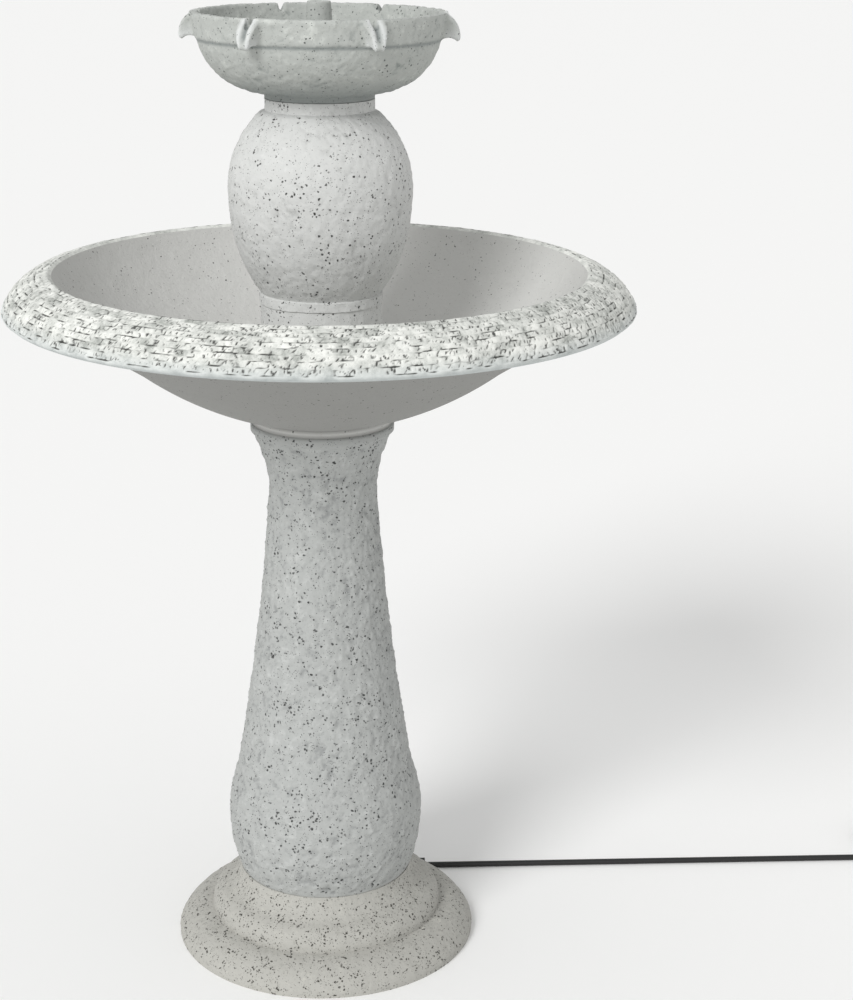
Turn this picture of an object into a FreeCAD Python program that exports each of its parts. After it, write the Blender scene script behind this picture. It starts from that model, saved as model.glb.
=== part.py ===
"""Two-tier garden water fountain in cast resin stone, with its pump, hose and low-voltage lead.

A hollow base carries a hollow column, and the column carries a wide bowl with a drooping rim. An urn stands
in the bowl over the pump, and a small bowl with six pouring lips sits on the urn. Millimetres, +Z up, with
the origin on the ground at the fountain's axis. The bowls are seen from -Y, which is the front.
"""
import FreeCAD, Part

import math
import os

import Sketcher

Vector = FreeCAD.Vector
doc = FreeCAD.newDocument("tiered_fountain")
parts = {}

# ---------------------------------------------------------------- driving dimensions

DIMENSIONS = {
    # base: a low foot with two rounded steps under a cove
    "base_radius": 132, "base_height": 65, "base_wall": 7, "base_toe": 6,
    "base_shoulder_run": 24, "base_shoulder_rise": 18.5, "base_groove": 6, "base_step_rise": 21,
    "base_step_run": 13, "base_plate": 8, "plate_hole": 22,
    # column: a belly over the foot, a long taper and a collar
    "column_height": 409, "column_wall": 6.5, "column_foot": 75, "column_belly": 77, "column_belly_rise": 95,
    "column_neck": 47, "column_neck_drop": 78, "collar_radius": 60.5, "collar_height": 8, "column_plate": 8,
    # main bowl: floor, dish and drooping rim
    "bowl_radius": 260, "bowl_rise": 131, "bowl_floor": 10, "bowl_wall": 8, "bowl_foot": 59,
    "bowl_turn_radius": 158, "bowl_turn_rise": 55.5, "bowl_flat_radius": 64, "bowl_flat_rise": 8,
    "rim_width": 38, "rim_drop": 28.5, "rim_lip": 5, "rim_tuck": 34,
    # urn: a plain sleeve over the pump, a ring and the belly
    "urn_foot": 50, "urn_wall": 5, "urn_sleeve": 92, "urn_ring": 9, "urn_ring_proud": 1.2, "urn_belly": 74.5,
    "urn_belly_rise": 73, "urn_shoulder_rise": 71, "urn_neck": 44.5, "urn_neck_rise": 11, "urn_slope": 4,
    "urn_arch_width": 22, "urn_arch_height": 12,
    # top bowl: spigot, dish, six lips and the stub that the water rises through
    "dish_radius": 102, "dish_rise": 68, "dish_lift": 6, "dish_wall": 6, "dish_floor": 7, "dish_bottom": 52,
    "dish_band": 20, "dish_band_radius": 97.5, "spigot_depth": 18, "spigot_wall": 5,
    "lip_reach": 14.5, "lip_drop": 23, "lip_width": 21, "lip_tip_width": 7, "notch_width": 7, "notch_depth": 9,
    "stub_top_radius": 9.5, "stub_foot_radius": 14, "stub_rise": 8,
    # hose and spout tube
    "spout_bore": 4.5, "spout_radius": 6, "spout_flange": 10, "spout_tail": 22, "hose_bore": 6.3,
    "hose_wall": 1.8, "hose_top_drop": 6,
    # pump, its axis along X
    "pump_offset": -11, "pump_width": 38, "pump_height": 38, "pump_lift": 8, "motor_front": -5,
    "motor_length": 25, "cover_thickness": 2, "chamber_length": 9, "strainer_length": 12, "strainer_wall": 2,
    "well_radius": 7.8, "well_wall": 1, "stator_radius": 17.4, "stator_length": 18, "magnet_radius": 7,
    "vane_radius": 11.5, "chamber_radius": 13, "shaft_radius": 1, "bush_radius": 3, "bush_length": 3,
    "outlet_radius": 6.25, "outlet_bore": 3.6, "outlet_height": 20, "dial_radius": 6, "dial_height": 3,
    "dial_stem": 2, "dial_drop": 9, "cup_radius": 6.5, "cup_stem": 2, "socket_depth": 3,
    # fasteners
    "bolt_radius": 3, "bolt_head": 4, "bolt_flats": 10, "bolt_reach": 15, "washer_radius": 7,
    "washer_height": 1.5, "insert_radius": 4.5, "base_bolt_circle": 46, "bowl_bolt_circle": 36,
    # cable, stopper, lead and its connector
    "cable_radius": 2.7, "cable_bend": 19, "stopper_radius": 8.2, "stopper_flange": 10, "stopper_head": 4,
    "stopper_x": 8, "stopper_y": 33, "gland_length": 6, "cable_rise": 34, "bush_width": 9, "bush_height": 8,
    "cord_y": 100, "bush_proud": 8.8, "bush_span": 29, "coil_x": 575, "coil_middle": 31.5,
    "coil_rings": 5, "coil_layers": 2, "turn_gap": 5.45, "tie_thickness": 0.9, "tie_width": 4, "connector_radius": 6.5, "nut_radius": 8,
    "nut_length": 15, "nut_grip": 6, "barrel_length": 31, "tail_length": 13, "pin_radius": 1, "pin_length": 8,
    # clearances
    "gap": 0.3, "running_gap": 0.05,
}
LIP_ANGLES = (-31, 24, 86, 148, 199, 264)      # from the front, towards +X; the casting isn't even
BOLT_ANGLES = (30, 150, 270)
CUP_PLACES = ((-10, -24), (15, -24), (-10, 2), (15, 2))
STRAINER_SLOTS = 5
SPIDER_HOLES = 4
VANES = 5

sheet = doc.addObject("Spreadsheet::Sheet", "Sizes")
for row, (alias, number) in enumerate(DIMENSIONS.items(), start=1):
    sheet.set("A%d" % row, alias)
    sheet.set("B%d" % row, str(number))
    sheet.setAlias("B%d" % row, alias)
doc.recompute()


class Size:
    """A number together with the spreadsheet expression that it comes from."""

    def __init__(self, text, value):
        self.text = text
        self.value = value

    def __add__(self, other):
        other = size(other)
        return Size("(%s + %s)" % (self.text, other.text), self.value + other.value)

    def __sub__(self, other):
        other = size(other)
        return Size("(%s - %s)" % (self.text, other.text), self.value - other.value)

    def __mul__(self, other):
        other = size(other)
        return Size("(%s * %s)" % (self.text, other.text), self.value * other.value)

    def __truediv__(self, other):
        other = size(other)
        return Size("(%s / %s)" % (self.text, other.text), self.value / other.value)

    def __radd__(self, other):
        return size(other) + self

    def __rsub__(self, other):
        return size(other) - self

    def __rmul__(self, other):
        return size(other) * self

    def __neg__(self):
        return size(0) - self

    def root(self):
        return Size("sqrt(%s)" % self.text, math.sqrt(self.value))


def size(number):
    """The number as a Size, whether it is one already or is plain."""
    return number if isinstance(number, Size) else Size(repr(float(number)), float(number))


class Sheet:
    """Gives each driving dimension by its name."""

    def __getattr__(self, alias):
        return Size("Sizes.%s" % alias, float(sheet.get(alias)))


d = Sheet()

# ---------------------------------------------------------------- ways of making a piece

TURNS = {
    "X": FreeCAD.Rotation(Vector(0, 1, 0), 90),
    "Y": FreeCAD.Rotation(Vector(1, 0, 0), -90),
    "Z": FreeCAD.Rotation(),
}


def place(item, at, rotation=None):
    """Puts the item at a point whose coordinates stay bound to the sheet."""
    x, y, z = (size(number) for number in at)
    item.Placement = FreeCAD.Placement(Vector(x.value, y.value, z.value), rotation or FreeCAD.Rotation())
    for letter, number in zip("xyz", (x, y, z)):
        item.setExpression("Placement.Base." + letter, number.text)
    return item


def primitive(kind, name, at, rotation=None, **sizes):
    """A Part primitive with its sizes bound to the sheet."""
    item = doc.addObject("Part::" + kind, name)
    for field, number in sizes.items():
        item.setExpression(field, size(number).text)
    return place(item, at, rotation)


def rod(name, radius, length, at, axis="Z"):
    return primitive("Cylinder", name, at, TURNS[axis], Radius=radius, Height=length)


def cone(name, radius, top_radius, length, at, axis="Z"):
    return primitive("Cone", name, at, TURNS[axis], Radius1=radius, Radius2=top_radius, Height=length)


def block(name, low, high):
    spans = [size(b) - size(a) for a, b in zip(low, high)]
    return primitive("Box", name, low, Length=spans[0], Width=spans[1], Height=spans[2])


def fuse(name, *items):
    item = doc.addObject("Part::MultiFuse", name)
    item.Shapes = list(items)
    return item


def cut(name, base, *tools):
    item = doc.addObject("Part::Cut", name)
    item.Base = base
    item.Tool = tools[0] if len(tools) == 1 else fuse(name + "_tools", *tools)
    return item


def group(name, items):
    item = doc.addObject("Part::Compound", name)
    item.Links = list(items)
    return item


def solid(name, shape):
    item = doc.addObject("Part::Feature", name)
    item.Shape = shape
    return item


def node(name, item):
    """Names a finished sub-part: its label is its file's name."""
    item.Label = name
    parts[name] = item
    return item


def pin_to(sketch, index, vertex, radius, height):
    """Holds one point of a sketch at a radius and a height from the sheet."""
    if radius.value == 0:
        sketch.addConstraint(Sketcher.Constraint("PointOnObject", index, vertex, -2))
    else:
        made = sketch.addConstraint(Sketcher.Constraint("DistanceX", -1, 1, index, vertex, radius.value))
        sketch.setExpression("Constraints[%d]" % made, radius.text)
    if height.value == 0:
        sketch.addConstraint(Sketcher.Constraint("PointOnObject", index, vertex, -1))
    else:
        made = sketch.addConstraint(Sketcher.Constraint("DistanceY", -1, 1, index, vertex, height.value))
        sketch.setExpression("Constraints[%d]" % made, height.text)


def arc_through(start, middle, end):
    """A counterclockwise arc for a sketch, and whether it runs from start to end."""
    forward = (middle - start).cross(end - middle).z > 0
    circle = Part.Arc(start, middle, end).toShape().Curve
    centre = circle.Center
    first, last = (start, end) if forward else (end, start)
    low = math.atan2(first.y - centre.y, first.x - centre.x)
    high = math.atan2(last.y - centre.y, last.x - centre.x)
    if high < low:
        high += 2 * math.pi
    return Part.ArcOfCircle(Part.Circle(centre, Vector(0, 0, 1), circle.Radius), low, high), forward


def turned(name, outline):
    """A body turned about Z. Each corner is radius, height and bulge: how far the stretch to the next corner
    stands off its chord, as a share of the chord, to the right of the way along it."""
    body = doc.addObject("PartDesign::Body", name)
    sketch = body.newObject("Sketcher::SketchObject", name + "_profile")
    sketch.AttachmentSupport = [(next(f for f in body.Origin.OriginFeatures if f.Role == "XZ_Plane"), "")]
    sketch.MapMode = "FlatFace"
    corners = [(size(radius), size(height), bulge) for radius, height, bulge in outline]
    heads, tails = [], []
    for index, (radius, height, bulge) in enumerate(corners):
        next_radius, next_height, _ = corners[(index + 1) % len(corners)]
        start = Vector(radius.value, height.value, 0)
        end = Vector(next_radius.value, next_height.value, 0)
        forward = True
        edge = Part.LineSegment(start, end)
        if bulge:
            middle_radius = (radius + next_radius) / 2 + bulge * (next_height - height)
            middle_height = (height + next_height) / 2 - bulge * (next_radius - radius)
            edge, forward = arc_through(start, Vector(middle_radius.value, middle_height.value, 0), end)
        made = sketch.addGeometry(edge)
        heads.append((made, 1 if forward else 2))
        tails.append((made, 2 if forward else 1))
        if bulge:
            point = sketch.addGeometry(Part.Point(Vector(middle_radius.value, middle_height.value, 0)), True)
            pin_to(sketch, point, 1, middle_radius, middle_height)
            sketch.addConstraint(Sketcher.Constraint("PointOnObject", point, 1, made))
    for index, (radius, height, _) in enumerate(corners):
        sketch.addConstraint(Sketcher.Constraint("Coincident", *tails[index - 1], *heads[index]))
        pin_to(sketch, *heads[index], radius, height)
    turn = body.newObject("PartDesign::Revolution", name + "_turning")
    turn.Profile = sketch
    turn.ReferenceAxis = (sketch, ["V_Axis"])
    turn.Angle = 360
    return body


def swept(path, section):
    """A straight-and-arc path swept by closed section wires; the first is the outside."""
    pipe = [path.makePipeShell([wire], True, False) for wire in section]
    return pipe[0] if len(pipe) == 1 else pipe[0].cut(pipe[1])


def disc_wire(radius, at, along):
    return Part.Wire([Part.makeCircle(radius, at, along)])


def rounded_path(points, radii=None, share=0.45):
    """Straight runs joined by tangent arcs; with no radii given, each arc takes its share of the shorter run."""
    edges, made = [], []
    last = points[0]
    for index in range(1, len(points) - 1):
        before, here, after = points[index - 1:index + 2]
        into = (here - before).normalize()
        out = (after - here).normalize()
        half = into.getAngle(out) / 2
        shorter = min((here - before).Length, (after - here).Length)
        radius = radii[index - 1] if radii else share * shorter / math.tan(half)
        reach = radius * math.tan(half)
        start, end = here - into * reach, here + out * reach
        middle = here + (out - into).normalize() * (radius / math.cos(half) - radius)
        edges.append(Part.LineSegment(last, start).toShape())
        edges.append(Part.Arc(start, middle, end).toShape())
        made.append(radius)
        last = end
    edges.append(Part.LineSegment(last, points[-1]).toShape())
    return Part.Wire(edges), made


def tube_along(name, points, radius, bore=None, radii=None):
    """A round cable or hose along rounded_path; its volume is compared with section times length."""
    path, made = rounded_path(points, radii)
    along = points[1] - points[0]
    sections = [disc_wire(radius, points[0], along)]
    if bore:
        sections.append(disc_wire(bore, points[0], along))
    shape = swept(path, sections)
    area = math.pi * (radius ** 2 - (bore or 0) ** 2)
    print("%s: length %.1f, arc radii %s, volume ratio %.4f" % (
        name, path.Length, " ".join("%.0f" % r for r in made), shape.Volume / (area * path.Length)))
    return solid(name + "_solid", shape)


def on_circle(radius, angle):
    """Sheet-bound x and y of a point on a circle about Z."""
    turn = math.radians(angle)
    return radius * math.cos(turn), radius * math.sin(turn)


# ---------------------------------------------------------------- heights, from the ground up

column_foot_z = d.base_height
column_top_z = column_foot_z + d.column_height
bowl_floor_z = column_top_z + d.bowl_floor
bowl_rim_z = column_top_z + d.bowl_rise
urn_ring_z = bowl_floor_z + d.urn_sleeve
urn_belly_z = urn_ring_z + d.urn_ring + 2
urn_wide_z = urn_belly_z + d.urn_belly_rise
urn_shoulder_z = urn_wide_z + d.urn_shoulder_rise
urn_top_z = urn_shoulder_z + d.urn_neck_rise
dish_bottom_z = urn_top_z + d.dish_lift
dish_floor_z = dish_bottom_z + d.dish_floor
dish_rim_z = urn_top_z + d.dish_rise
stub_top_z = dish_rim_z + d.stub_rise
pump_floor_z = bowl_floor_z + d.pump_lift
pump_axis_z = pump_floor_z + d.pump_height / 2
pump_top_z = pump_floor_z + d.pump_height
dial_z = pump_top_z - d.dial_drop
cable_start_z = bowl_floor_z + d.cable_rise
cord_exit = (d.base_radius * d.base_radius - d.cord_y * d.cord_y).root() + d.bush_proud

# ---------------------------------------------------------------- base


def make_base():
    step_radius = d.base_radius - d.base_shoulder_run - d.base_groove
    shoulder_z = d.base_toe + d.base_shoulder_rise
    step_z = shoulder_z + d.base_step_rise
    plate_z = d.base_height - d.base_plate
    cove = d.column_foot + 1
    shell = turned("base_shell", [
        (d.base_radius, 0, 0),
        (d.base_radius, d.base_toe, 0.12),
        (d.base_radius - d.base_shoulder_run, shoulder_z, 0),
        (step_radius, shoulder_z + 1, 0.17),
        (step_radius - d.base_step_run, step_z, -0.14),
        (cove, d.base_height, 0),
        (d.plate_hole, d.base_height, 0),
        (d.plate_hole, plate_z, 0),
        (cove - d.base_wall, plate_z, 0),
        (step_radius - d.base_step_run - d.base_wall, step_z - d.base_wall, 0),
        (step_radius - d.base_wall, shoulder_z - d.base_wall, 0),
        (d.base_radius - d.base_wall, d.base_toe, 0),
        (d.base_radius - d.base_wall, 0, 0),
    ])
    holes = [rod("base_bolt_hole_%d" % angle, d.bolt_radius + d.gap, d.base_plate,
                 (*on_circle(d.base_bolt_circle, angle), plate_z)) for angle in BOLT_ANGLES]
    doorway = block("cord_doorway", (cord_exit - d.bush_span, d.cord_y - d.bush_width / 2, 0),
                    (d.base_radius, d.cord_y + d.bush_width / 2, d.bush_height))
    node("base_plinth", cut("base", shell, doorway, *holes))


def make_cord_bush():
    """The rubber saddle that fills the doorway and holds the lead down."""
    low_x = cord_exit - d.bush_span
    side = d.bush_width / 2 - d.running_gap
    saddle = block("bush_block", (low_x, d.cord_y - side, 0), (cord_exit, d.cord_y + side,
                                                                d.bush_height - d.running_gap))
    throat = d.cable_radius + d.running_gap
    channel = block("bush_channel", (low_x, d.cord_y - throat, 0),
                    (cord_exit, d.cord_y + throat, d.cable_radius))
    bore = rod("bush_bore", throat, d.bush_span, (low_x, d.cord_y, d.cable_radius), "X")
    node("cord_bush", cut("bush", saddle, channel, bore))


# ---------------------------------------------------------------- column


def make_column():
    belly_z = column_foot_z + d.column_belly_rise
    neck_z = column_top_z - d.column_neck_drop
    collar_z = column_top_z - d.collar_height
    wall = d.column_wall
    shell = turned("column_shell", [
        (d.column_foot, column_foot_z, 0.093),
        (d.column_belly, belly_z, -0.0135),
        (d.column_neck, neck_z, -0.08),
        (d.collar_radius - 2, collar_z, 0),
        (d.collar_radius, collar_z + 1.5, 0),
        (d.collar_radius, column_top_z - 1.5, 0),
        (d.collar_radius - 1.5, column_top_z, 0),
        (0, column_top_z, 0),
        (0, column_top_z - d.column_plate, 0),
        (d.collar_radius - 2 - wall, column_top_z - d.column_plate, 0.08),
        (d.column_neck - wall, neck_z, 0.0135),
        (d.column_belly - wall, belly_z, -0.09),
        (d.column_foot - wall, column_foot_z + d.column_plate, 0),
        (d.plate_hole, column_foot_z + d.column_plate, 0),
        (d.plate_hole, column_foot_z, 0),
    ])
    foot_holes = [rod("foot_insert_hole_%d" % angle, d.insert_radius, d.column_plate,
                      (*on_circle(d.base_bolt_circle, angle), column_foot_z)) for angle in BOLT_ANGLES]
    head_holes = [rod("head_insert_hole_%d" % angle, d.insert_radius, d.column_plate,
                      (*on_circle(d.bowl_bolt_circle, angle), column_top_z - d.column_plate))
                  for angle in BOLT_ANGLES]
    cable_way = rod("column_cable_way", d.stopper_radius + 3, d.column_plate,
                    (d.stopper_x, d.stopper_y, column_top_z - d.column_plate))
    node("pedestal_column", cut("column", shell, cable_way, *foot_holes, *head_holes))


# ---------------------------------------------------------------- bolts, washers and inserts


def make_fixings(name, circle, seat_z, upward, insert_z):
    """Three hex bolts with washers and brass inserts; upward bolts have their heads below the plate."""
    bolts, washers, inserts = [], [], []
    for angle in BOLT_ANGLES:
        x, y = on_circle(circle, angle)
        tag = "%s_%d" % (name, angle)
        washer_z = seat_z - d.washer_height if upward else seat_z
        head_z = washer_z - d.bolt_head if upward else washer_z + d.washer_height
        shank_z = head_z + d.bolt_head if upward else head_z - d.bolt_reach
        head = doc.addObject("Part::Prism", tag + "_head")
        head.Polygon = 6
        head.setExpression("Circumradius", (d.bolt_flats / math.sqrt(3)).text)
        head.setExpression("Height", d.bolt_head.text)
        place(head, (x, y, head_z))
        shank = rod(tag + "_shank", d.bolt_radius, d.bolt_reach, (x, y, shank_z))
        bolts.append(fuse(tag + "_bolt", head, shank))
        bore = d.bolt_radius + d.running_gap
        washers.append(cut(tag + "_washer",
                           rod(tag + "_washer_disc", d.washer_radius, d.washer_height, (x, y, washer_z)),
                           rod(tag + "_washer_hole", bore, d.washer_height, (x, y, washer_z))))
        inserts.append(cut(tag + "_insert",
                           rod(tag + "_insert_body", d.insert_radius, d.column_plate, (x, y, insert_z)),
                           rod(tag + "_thread", bore, d.column_plate, (x, y, insert_z))))
    node(name + "_bolts", group(name + "_bolt_set", bolts))
    node(name + "_washers", group(name + "_washer_set", washers))
    node(name + "_inserts", group(name + "_insert_set", inserts))


# ---------------------------------------------------------------- main bowl


def make_main_bowl():
    foot_z = column_top_z
    flat_z = foot_z + d.bowl_flat_rise
    turn_z = foot_z + d.bowl_turn_rise
    lip_z = bowl_rim_z - d.rim_drop - d.rim_lip
    tuck = d.bowl_radius - d.rim_tuck
    crest = d.bowl_radius - d.rim_width
    dish = turned("bowl_dish", [
        (0, foot_z, 0),
        (d.bowl_foot, foot_z, 0),
        (d.bowl_foot, flat_z - 1.5, 0),
        (d.bowl_flat_radius, flat_z, 0.048),
        (d.bowl_turn_radius, turn_z, 0),
        (tuck, lip_z + 2, 0),
        (d.bowl_radius - d.rim_lip, lip_z, 0.2),
        (d.bowl_radius, lip_z + d.rim_lip, 0.13),
        (crest, bowl_rim_z, 0),
        (crest - 3, bowl_rim_z - 2, -0.07),
        (d.bowl_turn_radius, turn_z + d.bowl_wall + 1.5, -0.02),
        (d.bowl_foot + 4, bowl_floor_z, 0),
        (0, bowl_floor_z, 0),
    ])
    holes = [rod("floor_bolt_hole_%d" % angle, d.bolt_radius + d.gap, d.bowl_floor,
                 (*on_circle(d.bowl_bolt_circle, angle), foot_z)) for angle in BOLT_ANGLES]
    cable_hole = rod("floor_cable_hole", d.stopper_radius, d.bowl_floor, (d.stopper_x, d.stopper_y, foot_z))
    node("main_bowl", cut("bowl", dish, cable_hole, *holes))


def make_stopper():
    """The rubber bung that seals the cable's hole in the bowl's floor."""
    at = (d.stopper_x, d.stopper_y)
    plug = cone("stopper_plug", d.stopper_radius - 0.6, d.stopper_radius - d.running_gap, d.bowl_floor,
                (*at, column_top_z))
    flange = rod("stopper_flange_disc", d.stopper_flange, d.stopper_head, (*at, bowl_floor_z))
    bore = rod("stopper_bore", d.cable_radius + d.running_gap, d.bowl_floor + d.stopper_head,
               (*at, column_top_z))
    node("cable_stopper", cut("stopper", fuse("stopper_body", plug, flange), bore))


# ---------------------------------------------------------------- urn


def make_urn():
    """One casting in two solids: the sleeve over the pump, and the belly that rises from it."""
    wall = d.urn_wall
    ring = d.urn_foot + d.urn_ring_proud
    foot_z = bowl_floor_z
    sleeve_top_z = urn_ring_z + d.urn_ring
    sleeve = turned("urn_sleeve_shell", [
        (d.urn_foot, foot_z, 0),
        (d.urn_foot, urn_ring_z, 0),
        (ring, urn_ring_z + 1, 0),
        (ring, sleeve_top_z - 1, 0),
        (d.urn_foot - 0.5, sleeve_top_z, 0),
        (d.urn_foot - wall, sleeve_top_z, 0),
        (d.urn_foot - wall, foot_z, 0),
    ])
    belly = turned("urn_belly_shell", [
        (d.urn_foot - 0.5, sleeve_top_z, 0),
        (d.urn_foot + 1, urn_belly_z, 0.076),
        (d.urn_belly, urn_wide_z, 0.12),
        (d.urn_neck + d.urn_slope, urn_shoulder_z, 0),
        (d.urn_neck, urn_shoulder_z + 2, 0),
        (d.urn_neck, urn_top_z, 0),
        (d.urn_neck - 6, urn_top_z, 0),
        (d.urn_neck - 6, urn_shoulder_z - 3, -0.11),
        (d.urn_belly - wall, urn_wide_z, -0.07),
        (d.urn_foot - wall, urn_belly_z + 2, 0),
        (d.urn_foot - wall, sleeve_top_z, 0),
    ])
    arches = []
    for angle in (0, 90):
        arch = primitive("Box", "urn_arch_%d" % angle, (0, 0, foot_z),
                         Length=d.urn_foot * 3, Width=d.urn_arch_width, Height=d.urn_arch_height)
        turn = FreeCAD.Rotation(Vector(0, 0, 1), angle)
        corner = (-1.5 * d.urn_foot, -d.urn_arch_width / 2, foot_z)
        if angle:
            corner = (d.urn_arch_width / 2, -1.5 * d.urn_foot, foot_z)
        arches.append(place(arch, corner, turn))
    node("urn_sleeve", cut("urn_sleeve_body", sleeve, *arches))
    node("urn", belly)


# ---------------------------------------------------------------- top bowl


def lip_blank():
    """One pouring lip along +X: its side view, narrowed to a wedge towards the tip."""
    rim, reach, drop = d.dish_radius.value, d.lip_reach.value, d.lip_drop.value
    top = dish_rim_z.value
    inner = rim - 7
    tip = rim + reach - 4
    side = Part.Wire([
        Part.LineSegment(Vector(inner, 0, top), Vector(rim - 4, 0, top)).toShape(),
        Part.Arc(Vector(rim - 4, 0, top), Vector(rim + 0.4 * reach, 0, top - 0.28 * drop),
                 Vector(tip, 0, top - 0.9 * drop)).toShape(),
        Part.LineSegment(Vector(tip, 0, top - 0.9 * drop), Vector(tip - 2, 0, top - drop)).toShape(),
        Part.Arc(Vector(tip - 2, 0, top - drop), Vector(rim - 0.5, 0, top - 0.86 * drop),
                 Vector(inner, 0, top - drop)).toShape(),
        Part.LineSegment(Vector(inner, 0, top - drop), Vector(inner, 0, top)).toShape(),
    ])
    wide, narrow = d.lip_width.value / 2, d.lip_tip_width.value / 2
    beak = Part.Face(side).extrude(Vector(0, 2 * wide, 0))
    beak.translate(Vector(0, -wide, 0))
    wedge = Part.makePolygon([Vector(inner - 1, -wide, top + 1), Vector(inner - 1, wide, top + 1),
                              Vector(inner - 1, narrow, top - drop - 1), Vector(inner - 1, -narrow, top - drop - 1),
                              Vector(inner - 1, -wide, top + 1)])
    return beak.common(Part.Face(wedge).extrude(Vector(reach + 10, 0, 0)))


def notch_blank():
    """The V that one lip's water runs through, along +X."""
    half, depth, top = d.notch_width.value / 2, d.notch_depth.value, dish_rim_z.value
    start = d.dish_radius.value - 12
    vee = Part.makePolygon([Vector(start, -half, top + 1), Vector(start, half, top + 1),
                            Vector(start, 0, top - depth), Vector(start, -half, top + 1)])
    return Part.Face(vee).extrude(Vector(d.lip_reach.value + 20, 0, 0))


def bearing(shape, angle):
    """The shape turned from +X to an angle counted from the front towards +X."""
    return shape.rotated(Vector(0, 0, 0), Vector(0, 0, 1), angle - 90)


def make_top_bowl():
    wall = d.dish_wall
    band_z = dish_rim_z - d.dish_band
    spigot = d.urn_neck - 6 - d.gap
    dish = turned("dish_shell", [
        (spigot, urn_top_z - d.spigot_depth, 0),
        (spigot, urn_top_z, 0),
        (d.urn_neck, urn_top_z, 0),
        (d.urn_neck, dish_bottom_z, 0),
        (d.dish_bottom, dish_bottom_z, 0.16),
        (d.dish_band_radius, band_z, 0),
        (d.dish_band_radius + 1.5, band_z + 1, 0),
        (d.dish_radius, dish_rim_z, 0),
        (d.dish_radius - wall, dish_rim_z, 0),
        (d.dish_band_radius - wall, band_z, -0.16),
        (d.dish_bottom, dish_floor_z, 0),
        (d.stub_foot_radius, dish_floor_z, 0),
        (d.stub_top_radius, stub_top_z, 0),
        (d.spout_radius + d.running_gap, stub_top_z, 0),
        (d.spout_radius + d.running_gap, dish_bottom_z, 0),
        (spigot - d.spigot_wall, dish_bottom_z, 0),
        (spigot - d.spigot_wall, urn_top_z - d.spigot_depth, 0),
    ])
    doc.recompute()
    lips = solid("dish_lips", Part.makeCompound([bearing(lip_blank(), angle) for angle in LIP_ANGLES]))
    notches = solid("dish_notches", Part.makeCompound([bearing(notch_blank(), angle) for angle in LIP_ANGLES]))
    node("top_bowl", cut("dish", fuse("dish_with_lips", dish, lips), notches))


def make_spout_tube():
    """The plastic tube bonded up the stub; the hose slips over its tail."""
    flange_z = dish_bottom_z - 3
    tail_z = flange_z - d.spout_tail
    barrel = rod("spout_barrel", d.spout_radius, stub_top_z - 2 - tail_z, (0, 0, tail_z))
    flange = rod("spout_flange_disc", d.spout_flange, 3, (0, 0, flange_z))
    bore = rod("spout_way", d.spout_bore, stub_top_z - tail_z, (0, 0, tail_z))
    node("spout_tube", cut("spout", fuse("spout_body", barrel, flange), bore))


# ---------------------------------------------------------------- pump

pump_low_y = d.pump_offset - d.pump_width / 2
pump_high_y = d.pump_offset + d.pump_width / 2
motor_end = d.motor_front + d.motor_length
chamber_front = d.motor_front - d.chamber_length
strainer_front = chamber_front - d.strainer_length
outlet_x = d.motor_front - d.chamber_length / 2
back_bush_x = motor_end - 1.5 - d.bush_length


def on_shaft(name, radius, start, end):
    """A round piece about the pump's shaft, from one x to another."""
    return rod(name, radius, size(end) - size(start), (start, d.pump_offset, pump_axis_z), "X")


def cup_socket(index):
    """The blind hole that one suction cup's stem is pushed into."""
    x, y = CUP_PLACES[index]
    return rod("cup_socket_%d" % index, d.cup_stem + d.running_gap, d.socket_depth, (x, y, pump_floor_z))


def make_motor():
    shell = block("motor_block", (d.motor_front, pump_low_y, pump_floor_z), (motor_end, pump_high_y, pump_top_z))
    stator_start = d.motor_front + 4
    pocket = cut("stator_pocket", on_shaft("stator_space", d.stator_radius + 0.2, stator_start, motor_end),
                 on_shaft("well_wall_rod", d.well_radius + d.well_wall, stator_start, motor_end - 0.5))
    well = fuse("rotor_well", on_shaft("well_bore", d.well_radius, d.motor_front, back_bush_x - 0.1),
                on_shaft("back_bush_seat", d.bush_radius, d.motor_front, back_bush_x + d.bush_length))
    lead_way = rod("lead_way", d.cable_radius + d.running_gap, 10,
                   (d.stopper_x, pump_high_y - 10, cable_start_z), "Y")
    feet = [cup_socket(index) for index, (x, y) in enumerate(CUP_PLACES) if x > 0]
    node("pump_body", cut("motor_housing", shell, pocket, well, lead_way, *feet))
    node("pump_back_cover", block("back_cover", (motor_end, pump_low_y, pump_floor_z),
                                  (motor_end + d.cover_thickness, pump_high_y, pump_top_z)))

    core_end = stator_start + d.stator_length
    core = cut("core_cup", on_shaft("core_outside", d.stator_radius, stator_start, core_end),
               on_shaft("core_bore", d.well_radius + d.well_wall + d.running_gap, stator_start, core_end),
               cut("core_window", on_shaft("window_outside", d.stator_radius - 2, stator_start + 2, core_end - 2),
                   on_shaft("window_inside", d.well_radius + d.well_wall + 0.1, stator_start + 2, core_end - 2)))
    node("stator_core", core)
    node("stator_winding", cut("winding", on_shaft("winding_outside", d.stator_radius - 2.2, stator_start + 2.2,
                                                   core_end - 2.2),
                               on_shaft("winding_bore", d.well_radius + d.well_wall + 0.3, stator_start + 2.2,
                                        core_end - 2.2)))


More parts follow.
